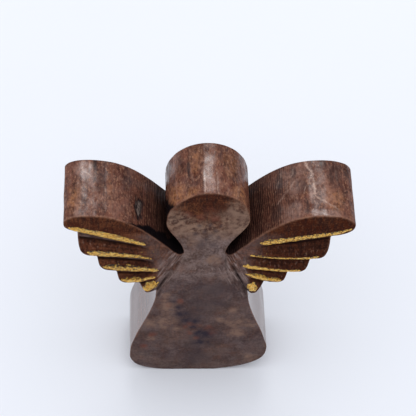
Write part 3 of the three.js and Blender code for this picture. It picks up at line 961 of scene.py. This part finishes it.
def gold_stroke(side, path, seed):
    """A thin, lumpy, ragged-edged skin of gold over the carved front along a path."""
    middle = smoothed(path)
    n, v = len(middle), np.linspace(-1, 1, GOLD_ACROSS)
    d = unit(np.gradient(middle[:, :2], axis=0))
    across = np.stack([-d[:, 1], d[:, 0]], 1)
    run = np.arange(n) * GOLD_STEP
    half = middle[:, 2] * 0.54
    ends = np.clip(np.minimum(run, run[-1] - run) / np.maximum(half * 1.4, 0.2), 0.02, 1) ** 0.5
    low, high = (half * ends * (1 + 0.36 * fbm(spread(run, s, 0), 1.6, 4, seed + s)) for s in (0, 1))
    offset = v * np.where(v < 0, low[:, None], high[:, None])
    flat = middle[:, None, :2] + across[:, None, :] * offset[..., None]
    flat = held_inside(flat.reshape(-1, 2) * np.array([side, 1]), GOLD_MARGIN)
    x, z = flat.T
    depth, _ = carve(x, z)
    body = (1 - np.abs(np.tile(v, n)) ** 3) * np.repeat(np.sqrt(ends), len(v))
    thick = body * (0.15 + 0.10 * fbm(spread(x, 0, z), 0.8, 3, seed + 5)) - 0.035
    top = np.stack([x, FRONT + depth - thick, z], 1)
    bottom = np.stack([x, FRONT + depth + GOLD_ROOT, z], 1)
    faces = slab_faces(n, len(v))
    if side < 0:
        faces = [face[::-1] for face in faces]
    return np.concatenate([top, bottom]), faces, {"edge": np.tile(v, 2 * n)}


def joined(parts):
    """Several meshes as one."""
    verts, faces, data = [], [], []
    for part_verts, part_faces, part_data in parts:
        start = sum(len(v) for v in verts)
        verts.append(part_verts)
        faces += [tuple(start + k for k in face) for face in part_faces]
        data.append(part_data)
    return np.concatenate(verts), faces, {key: np.concatenate([d[key] for d in data]) for key in data[0]}


# ---------------------------------------- materials
class Nodes:
    """A short way to wire up a material's nodes."""

    def __init__(self, name):
        self.material = bpy.data.materials.new(name)
        self.material.use_nodes = True
        self.tree = self.material.node_tree
        self.tree.nodes.clear()
        self.output = self.tree.nodes.new("ShaderNodeOutputMaterial")
        self.place = self.tree.nodes.new("ShaderNodeTexCoord").outputs["Object"]

    def add(self, kind, inputs=(), **settings):
        node = self.tree.nodes.new("ShaderNode" + kind)
        for key, value in settings.items():
            setattr(node, key, value)
        for key, value in dict(inputs).items():
            self.feed(node.inputs[key], value)
        return node

    def feed(self, socket, value):
        """Link a socket, or set it. A colour is three numbers."""
        if isinstance(value, bpy.types.NodeSocket):
            self.tree.links.new(value, socket)
        elif socket.type == "RGBA" and len(value) == 3:
            socket.default_value = (*value, 1.0)
        else:
            socket.default_value = value

    def mark(self, name):
        """One of the mesh's own marks on its surface."""
        return self.add("Attribute", attribute_name=name).outputs["Fac"]

    def math(self, operation, a, b=0.0, clamp=False):
        return self.add("Math", {0: a, 1: b}, operation=operation, use_clamp=clamp).outputs[0]

    def plus(self, a, b, clamp=False):
        return self.math("ADD", a, b, clamp)

    def less(self, a, b):
        return self.math("SUBTRACT", a, b)

    def times(self, a, b):
        return self.math("MULTIPLY", a, b)

    def most(self, first, *others):
        for other in others:
            first = self.math("MAXIMUM", first, other)
        return first

    def noise(self, scale, detail=4.0, rough=0.55, stretch=(1, 1, 1), distortion=0.0):
        """Noise with a scale in bumps to the metre along each axis."""
        at = self.add("Mapping", {"Vector": self.place, "Scale": stretch}).outputs[0]
        shape = {"Scale": scale, "Detail": detail, "Roughness": rough, "Distortion": distortion}
        return self.add("TexNoise", {"Vector": at, **shape}).outputs["Fac"]

    def ramp(self, value, low, high, to_low=0.0, to_high=1.0):
        inputs = {"Value": value, 1: low, 2: high, 3: to_low, 4: to_high}
        return self.add("MapRange", inputs, interpolation_type="SMOOTHSTEP").outputs[0]

    def patchy(self, low, high, *noise, faint=0.0, full=1.0):
        """Noise sharpened into patches, from faint where it is under low to full where it is over high."""
        return self.ramp(self.noise(*noise), low, high, faint, full)

    def mix(self, share, a, b):
        return self.add("Mix", {0: share, 6: a, 7: b}, data_type="RGBA").outputs[2]

    def mix_numbers(self, share, a, b):
        return self.add("Mix", {0: share, 2: a, 3: b}, data_type="FLOAT").outputs[0]

    def layers(self, colour, *layers):
        """The colour with tones laid over it in turn, each with its mask and how well it covers."""
        for mask, strength, tone in layers:
            colour = self.mix(self.times(mask, strength), colour, tone)
        return colour

    def bump(self, height, distance, strength=1.0, normal=None):
        inputs = {"Height": height, "Distance": distance, "Strength": strength}
        if normal is not None:
            inputs["Normal"] = normal
        return self.add("Bump", inputs).outputs[0]

    def vector(self, operation, a, b=(0, 0, 0), scale=1.0, result=0):
        return self.add("VectorMath", {0: a, 1: b, 3: scale}, operation=operation).outputs[result]

    def near_line(self, place, start, end, width):
        """How near a place is to the line between two points, 1 on it and 0 past the width."""
        start, end = Vector((*start, 0)) * MM, Vector((*end, 0)) * MM
        run = end - start
        away = self.vector("SUBTRACT", place, start)
        share = self.vector("DOT_PRODUCT", away, run / run.length_squared, result=1)
        foot = self.vector("SCALE", run, scale=self.plus(share, 0.0, clamp=True))
        gap = self.vector("DISTANCE", away, foot, result=1)
        return self.ramp(gap, 0.0, width * MM, 1.0, 0.0)

    def surface(self, **inputs):
        shader = self.add("BsdfPrincipled", {key.replace("_", " "): value for key, value in inputs.items()})
        self.tree.links.new(shader.outputs[0], self.output.inputs[0])
        return self.material


# Scuffs on the tops of the wings and head, seen from above, how wide each is and how plain.
# The last two, along the head's crown, are painted highlights rather than scuffs.
SCUFFS_AND_HIGHLIGHTS = [
    ([(35.0, 12.3), (35.4, 10.0), (36.6, 6.8), (37.5, 3.2), (37.0, -2.5)], 0.8, 1.0),
    ([(37.6, -3.4), (41.3, -6.7), (44.8, -9.3)], 0.65, 0.9),
    ([(36.9, 6.4), (34.6, 1.5), (33.6, -2.0)], 0.5, 0.5),
    ([(31.0, 4.6), (28.0, 0.7), (24.8, -3.2)], 0.6, 0.5),
    ([(30.6, 9.6), (27.4, 1.0)], 0.5, 0.45),
    ([(27.0, 10.5), (24.5, 2.5)], 0.5, 0.4),
    ([(-43.8, 2.8), (-42.0, -1.2)], 0.6, 0.55),
    ([(-42.6, 9.0), (-39.6, 4.6)], 0.6, 0.55),
    # Painted highlights along the creases of the head's crown.
    ([(-1.2, -1.2), (-1.0, -12.0)], 0.5, 0.8),
    ([(3.3, -0.8), (3.5, -12.0)], 0.5, 0.8),
]

SCUFFS_FROM = 80 * MM  # the scuffs are only on tops above this height


def scuffs_and_highlights(n):
    """The mask of the scuffs and of the painted highlight lines on the head's crown: thin, slightly wavering
    lines on the surfaces that face up.
    """
    plan = (1, 1, 0)
    flat = n.vector("MULTIPLY", n.place, plan)
    waver = n.add("TexNoise", {"Vector": flat, "Scale": 330.0, "Detail": 5.0}).outputs["Color"]
    waver = n.vector("SUBTRACT", waver, (0.5, 0.5, 0.5))
    flat = n.vector("ADD", flat, n.vector("SCALE", waver, scale=2.4 * MM))
    flat = n.vector("MULTIPLY", flat, plan)
    total = 0.0
    for line, width, strength in SCUFFS_AND_HIGHLIGHTS:
        for start, end in zip(line, line[1:]):
            total = n.most(total, n.times(n.near_line(flat, start, end, width), strength))
    height = n.add("SeparateXYZ", {0: n.place}).outputs[2]
    total = n.times(total, n.math("GREATER_THAN", height, SCUFFS_FROM))
    return n.times(total, n.patchy(0.34, 0.62, 700, 4, 0.7))


def saw_lines(n):
    """The mask of the fine lines that the saw blade left, wavering and broken."""
    run = n.plus(n.times(n.mark("run"), 1 / SAW_PITCH), n.times(n.noise(170, 2, 0.5, (1, 0.6, 1)), 2.2))
    wave = n.math("SINE", n.times(run, 2 * math.pi))
    broken = n.patchy(0.3, 0.5, 800, 3, 0.6, (1, 0.12, 1), faint=0.5)
    return n.times(n.ramp(wave, -0.15, 0.5), n.times(broken, n.mark("saw")))


def side_wood(n):
    """The sides' own wood: a mottled red-brown with flecks, pits and streaks through the board."""
    clouds = n.patchy(0.38, 0.62, 120, 5, 0.65, (1, 0.6, 1), 0.6)
    mottle = n.patchy(0.38, 0.62, 480, 4, 0.65, (1, 0.6, 1), 0.4)
    streaks = n.patchy(0.46, 0.62, 420, 4, 0.6, (1, 0.07, 1), 0.3)
    reddish = n.times(n.mark("ember"), n.patchy(0.38, 0.6, 650, 4, 0.65, faint=0.15))
    flecks = n.patchy(0.5, 0.66, 1500, 3, 0.7, (1, 0.5, 1))
    pits = n.patchy(0.5, 0.64, 1250, 4, 0.7, (1, 0.35, 1))
    return n.layers(
        n.mix(clouds, (0.070, 0.0215, 0.0145), (0.146, 0.050, 0.032)),
        (mottle, 0.55, (0.205, 0.082, 0.051)),
        (streaks, 0.5, (0.042, 0.013, 0.009)),
        (reddish, 0.85, (0.355, 0.150, 0.064)),
        (flecks, 0.5, (0.40, 0.200, 0.120)),
        (pits, 0.6, (0.022, 0.007, 0.005)),
    )


def side_colour(n, lines, marks):
    """The sides' wood under its pale waxy patches, which also paint the tops' highlights, its stains,
    scuffs, saw lines and knot, with painted highlights along its creases, a lighter skirt that partly
    paints its reflection, and painted shade in the notches.
    """
    bloom_and_highlight = n.times(n.mark("bloom_and_highlight"), n.patchy(0.36, 0.62, 900, 4, 0.7, (1, 0.7, 1), 0.4, faint=0.2))
    stain = n.times(n.mark("stain"), n.patchy(0.3, 0.5, 1000, 3, 0.7, (1, 0.3, 1), faint=0.5))
    crease = n.times(n.mark("crease"), n.patchy(0.4, 0.65, 500, 3, 0.6))
    grain = n.patchy(0.38, 0.64, 520, 5, 0.65, (1, 0.06, 1), 0.2)
    skirt = n.mix(grain, (0.185, 0.104, 0.082), (0.098, 0.049, 0.037))
    ash = n.times(n.mark("heart"), n.patchy(0.36, 0.62, 1500, 3, 0.7, (1, 0.3, 1)))
    return n.layers(
        side_wood(n),
        # Pale waxy patches, with painted highlights on the tops.
        (bloom_and_highlight, 0.65, (0.345, 0.185, 0.140)),
        (n.mark("saw"), 0.6, (0.042, 0.019, 0.016)),
        (stain, 0.95, (0.018, 0.010, 0.011)),
        # Painted highlight along the creases between the sanded flats.
        (crease, 0.35, (0.28, 0.16, 0.12)),
        # The scuffs, and the painted highlight lines on the head's crown.
        (marks, 0.85, (0.48, 0.31, 0.24)),
        # Lighter, smoother wood low on the skirt, partly a painted reflection of the pale surroundings.
        (n.mark("low"), 0.68, skirt),
        # Nearly black in the notches: stain with painted shade.
        (n.mark("notch"), 0.98, (0.0038, 0.0032, 0.0046)),
        (lines, 0.95, (0.006, 0.003, 0.003)),
        (n.mark("knot"), 0.95, (0.008, 0.007, 0.009)),
        (ash, 0.9, (0.20, 0.145, 0.122)),
    )


def root_scores(n, x, z):
    """The fine scores that fan out from the root of each arm, as noise along them."""
    lean = n.times(n.less(SCORE_TOP * MM, z), SCORE_LEAN)
    across = n.less(n.math("ABSOLUTE", x), lean)
    at = n.add("CombineXYZ", {0: across, 1: 0.0, 2: n.times(z, 0.12)}).outputs[0]
    return n.add("TexNoise", {"Vector": at, "Scale": 1100.0, "Detail": 3.0, "Roughness": 0.6}).outputs["Fac"]


def carved_wood(n, x):
    """The front's wood: dark red-brown, hatched and nicked, darker on the right wing, with painted light on
    the grooves' upward flanks.
    """
    patches = n.patchy(0.4, 0.62, 170, 4, 0.6, (0.6, 1, 1), 0.8)
    grain = n.patchy(0.42, 0.66, 700, 4, 0.65, (0.12, 1, 1), 0.4)
    hatch = n.patchy(0.44, 0.6, 1000, 4, 0.7, (1, 1, 0.22))
    rubbed = n.patchy(0.55, 0.66, 850, 4, 0.7, (1, 1, 0.2))
    nicks = n.patchy(0.5, 0.66, 1500, 3, 0.65, (1, 1, 0.3))
    flecks = n.patchy(0.52, 0.68, 1800, 3, 0.7)
    right = n.ramp(x, 14 * MM, 26 * MM, 0.0, 0.68)
    slope = n.mark("slope")
    wood = n.mix(patches, (0.062, 0.0160, 0.008), (0.140, 0.046, 0.020))
    return n.layers(
        n.mix(right, wood, (0.054, 0.011, 0.004)),
        (grain, 0.4, (0.026, 0.008, 0.005)),
        # Painted light: the groove's upward flank below the valley is a lighter brown.
        (slope, n.less(0.45, n.times(right, 0.25)), (0.16, 0.052, 0.028)),
        (hatch, 0.65, (0.018, 0.008, 0.007)),
        (rubbed, n.times(slope, 0.55), (0.30, 0.17, 0.125)),
        (nicks, 0.6, (0.022, 0.008, 0.006)),
        (flecks, 0.35, (0.24, 0.100, 0.048)),
    )


def front_bloom(n):
    """The colour of the scraped parts: spotted on the face, pinkish on the chest, cool on the body. Its
    greyish cast is partly painted sheen.
    """
    face, body = n.mark("face"), n.mark("body")
    spotted = n.patchy(0.36, 0.62, 520, 4, 0.66, (0.9, 1, 1), 0.3)
    cloud = n.times(n.patchy(0.36, 0.64, 190, 5, 0.6, (0.8, 1, 1), 0.5), 0.62)
    cloud = n.plus(cloud, n.times(n.patchy(0.38, 0.62, 1100, 3, 0.6), 0.38))
    broad = n.patchy(0.42, 0.62, 90, 3, 0.55, (0.7, 1, 1), 0.8)
    specks = n.patchy(0.54, 0.66, 1000, 4, 0.7)
    pits = n.patchy(0.5, 0.68, 2000, 3, 0.7)
    shadow = n.mix(body, (0.068, 0.044, 0.040), (0.060, 0.041, 0.042))
    light = n.mix(body, (0.262, 0.190, 0.176), (0.146, 0.104, 0.100))
    shadow = n.mix(face, shadow, (0.062, 0.032, 0.028))
    light = n.mix(face, light, (0.305, 0.190, 0.136))
    return n.layers(
        n.mix(n.mix_numbers(face, cloud, spotted), shadow, light),
        (broad, 0.22, (0.150, 0.092, 0.066)),
        (specks, n.plus(0.12, n.times(face, 0.28)), (0.42, 0.28, 0.185)),
        (pits, 0.4, (0.045, 0.028, 0.025)),
    )


def front_colour(n):
    """The carved front: its wood, bloomed and partly painted with sheen where it was scraped, under its
    stains and scores, with painted shade in the deepest cuts and a painted reflection along the grooves'
    upper lips.
    """
    x, _, z = n.add("SeparateXYZ", {0: n.place}).outputs
    thin = n.times(n.mark("tan"), n.patchy(0.36, 0.58, 500, 5, 0.65, (0.8, 1, 1), faint=0.25, full=0.85))
    ember = n.times(n.mark("ember"), n.patchy(0.36, 0.6, 420, 4, 0.6, (0.7, 1, 1), 0.5, faint=0.3))
    blot = n.times(n.mark("blot"), n.patchy(0.35, 0.55, 300, 4, 0.6, (0.7, 1, 1), 0.5, faint=0.45))
    rays, fan = root_scores(n, x, z), n.mark("fan")
    # The scraped parts' greyish cast: bloomed wood with painted sheen.
    colour = n.mix(n.mark("haze_and_sheen"), carved_wood(n, x), front_bloom(n))
    return n.layers(
        n.mix(thin, colour, (0.218, 0.130, 0.096)),
        (n.mark("shade"), 0.55, (0.056, 0.042, 0.046)),
        (fan, n.ramp(rays, 0.5, 0.62, 0.0, 0.8), (0.30, 0.22, 0.20)),
        (fan, n.ramp(rays, 0.44, 0.36, 0.0, 0.75), (0.035, 0.022, 0.020)),
        (ember, 0.55, (0.165, 0.052, 0.034)),
        (blot, 0.9, (0.026, 0.021, 0.031)),
        # Painted reflection along the grooves' upper lips.
        (n.mark("lip"), 0.75, (0.18, 0.125, 0.098)),
        # Stain gathered in the cuts, with painted shade in the deepest of them and along the foot.
        (n.mark("dark"), 0.96, (0.0065, 0.0035, 0.0035)),
    )


def wood_gloss(n, smear, lines):
    """The lacquer that is left on the sides: smeared, thin on most of them, none in the saw cuts."""
    dull = n.most(lines, n.mark("knot"), n.times(n.mark("saw"), 0.8), n.mark("notch"))
    shine = n.times(n.mark("shine"), n.ramp(smear, 0.34, 0.62, 0.9, 0.3))
    shine = n.most(shine, n.ramp(smear, 0.34, 0.64, 0.25, 0.035), n.mark("low"))
    return n.times(n.times(n.mark("sawn"), shine), n.less(1.0, dull))


def wood_normal(n, lines, marks):
    """Fine bumps, fainter low on the skirt, with the saw lines and scuffs cut into them."""
    grip = n.less(0.45, n.times(n.mark("low"), 0.45))
    normal = n.bump(n.noise(520, 4, 0.6, (1, 0.6, 1)), 0.24 * MM, grip)
    normal = n.bump(n.noise(2300, 3, 0.65, (1, 0.4, 1)), 0.1 * MM, grip, normal)
    cuts = n.most(lines, n.times(marks, 0.5))
    return n.bump(n.less(1.0, cuts), 0.1 * MM, 0.7, normal)


def wood_material():
    n = Nodes("stained_wood")
    lines, marks, sawn = saw_lines(n), scuffs_and_highlights(n), n.mark("sawn")
    # The worn arris, lighter: real wear with a painted highlight along the upper front edges.
    edge_wear_and_highlight = n.times(n.mark("wear"), n.patchy(0.34, 0.6, 480, 4, 0.65, faint=0.1))
    edge_wear_and_highlight = n.times(edge_wear_and_highlight, n.less(1.0, n.times(n.mark("saw"), 0.7)))
    edge_wear_and_highlight = n.times(edge_wear_and_highlight, n.less(1.0, n.mark("notch")))
    colour = n.mix(sawn, front_colour(n), side_colour(n, lines, marks))
    smear = n.noise(330, 5, 0.7, (1, 0.7, 1), 0.5)
    rough = n.mix_numbers(sawn, n.ramp(smear, 0.3, 0.7, 0.45, 0.62), n.ramp(smear, 0.34, 0.66, 0.3, 0.55))
    return n.surface(
        Base_Color=n.layers(colour, (edge_wear_and_highlight, 0.7, (0.27, 0.135, 0.085))),
        Roughness=n.plus(rough, n.times(n.most(n.mark("dark"), lines), 0.3), clamp=True),
        Normal=wood_normal(n, lines, marks),
        IOR=1.06,
        Coat_Weight=wood_gloss(n, smear, lines),
        Coat_Roughness=0.2,
        Coat_IOR=2.0,
    )


def gold_material(name, wear):
    """Rough gold brushed on dry: it misses the wood in places, most of all along its upper edge. Its dark
    orange-brown patches are partly painted shade, and its bright yellow flecks are painted glints.
    """
    n = Nodes(name)
    edge = n.mark("edge")
    rim = n.times(n.ramp(edge, 0.2, 1.0), 0.10 - 0.04 * wear)
    miss = n.plus(n.noise(1900, 5, 0.75, (0.6, 1, 1)), n.plus(n.times(edge, 0.03), rim))
    bare = n.ramp(miss, 0.622 - 0.092 * wear, 0.645 - 0.082 * wear)
    metal = n.less(1.0, bare)
    # Patchy gold, its darker tone partly painted shade.
    gold = n.mix(n.patchy(0.40, 0.49, 1500, 4, 0.72), (0.30, 0.085, 0.004), (1.0, 0.60, 0.125))
    # Painted glints: bright yellow flecks.
    gold = n.layers(gold, (n.patchy(0.51, 0.60, 1300, 4, 0.7), 0.8, (1.0, 0.75, 0.27)))
    rough = n.patchy(0.3, 0.7, 1800, 3, 0.6, faint=0.08, full=0.26)
    lumps = n.bump(n.noise(1700, 5, 0.75), 1.3 * MM)
    return n.surface(
        Base_Color=n.mix(bare, gold, (0.035, 0.017, 0.010)),
        Metallic=metal,
        Roughness=n.most(rough, n.times(bare, 0.7)),
        Normal=n.bump(metal, 0.1 * MM, 0.5, lumps),
    )


def floor_material():
    n = Nodes("floor")
    tone = n.patchy(0.3, 0.7, 6, 2, 0.5)
    colour = n.mix(tone, (0.815, 0.828, 0.88), (0.825, 0.838, 0.89))
    return n.surface(Base_Color=colour, Roughness=0.7, Specular_IOR_Level=0.1)


# ---------------------------------------- build
def add_figure():
    verts, faces, data = wood_mesh()
    figure = make_object("carved_wood", verts, faces, data, wood_material(), sharp=38)
    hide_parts("carved_wooden_figure")


def add_stroke(wing, i, path, wear):
    """One feather's stroke of gold, with the flecks that fell beside it."""
    name = f"{wing['name']}_feather_{i + 1}"
    parts = [gold_stroke(wing["side"], path, 100 + 10 * i + wing["side"])]
    for k, (wing_name, feather_index, x, z, size) in enumerate(FLECKS):
        if (wing_name, feather_index) == (wing["name"], i):
            fleck = [(x - size / 2, z, size), (x + size / 2, z + 0.1, size)]
            parts.append(gold_stroke(wing["side"], fleck, 300 + k))
    verts, faces, data = joined(parts)
    stroke = make_object(name + "_gold", verts, faces, data, gold_material(name + "_gold", wear))
    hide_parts(name + "_gilding")


add_figure()
for wing in WINGS:
    for i, (path, wear) in enumerate(STROKES[wing["name"]]):
        add_stroke(wing, i, path, wear)

# ---------------------------------------- studio
FLOOR_HALF = 3.0
WORLD = {"colour": (0.91, 0.95, 1.0, 1), "strength": 0.72}
KEY = {"place": (0.03, 0.72, 0.92), "aim": (0, 0, 0.08), "size": (0.40, 0.26), "watts": 1.5}
CEILING = {"direction": (0.08, 0.24, -0.97), "strength": 1.15, "spread": 70}


def add_floor():
    mesh = bpy.data.meshes.new("floor")
    s = FLOOR_HALF
    mesh.from_pydata([(-s, -s, 0), (s, -s, 0), (s, s, 0), (-s, s, 0)], [], [(0, 1, 2, 3)])
    mesh.materials.append(floor_material())
    floor = bpy.data.objects.new("floor", mesh)
    bpy.context.collection.objects.link(floor)
    floor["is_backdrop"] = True


def add_lamp(light, direction, place=(0, 0, 0)):
    lamp = bpy.data.objects.new(light.name, light)
    lamp.location = place
    lamp.rotation_euler = Vector(direction).to_track_quat("-Z", "Y").to_euler()
    bpy.context.collection.objects.link(lamp)


def add_lights():
    """A big softbox behind and above, and a broad ceiling light."""
    key = bpy.data.lights.new("key", "AREA")
    key.shape = "RECTANGLE"
    key.size, key.size_y = KEY["size"]
    key.energy = KEY["watts"]
    add_lamp(key, Vector(KEY["aim"]) - Vector(KEY["place"]), KEY["place"])
    ceiling = bpy.data.lights.new("ceiling", "SUN")
    ceiling.energy = CEILING["strength"]
    ceiling.angle = math.radians(CEILING["spread"])
    add_lamp(ceiling, CEILING["direction"])


def add_world():
    world = bpy.data.worlds.new("studio")
    world.use_nodes = True
    background = world.node_tree.nodes["Background"]
    background.inputs["Color"].default_value = WORLD["colour"]
    background.inputs["Strength"].default_value = WORLD["strength"]
    bpy.context.scene.world = world


add_floor()
add_world()
add_lights()
bpy.context.scene.view_settings.view_transform = "Standard"

boxes = {"cad": CAD_BOX, "visual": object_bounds()}
{key: [list(corner) for corner in box] for key, box in boxes.items()}
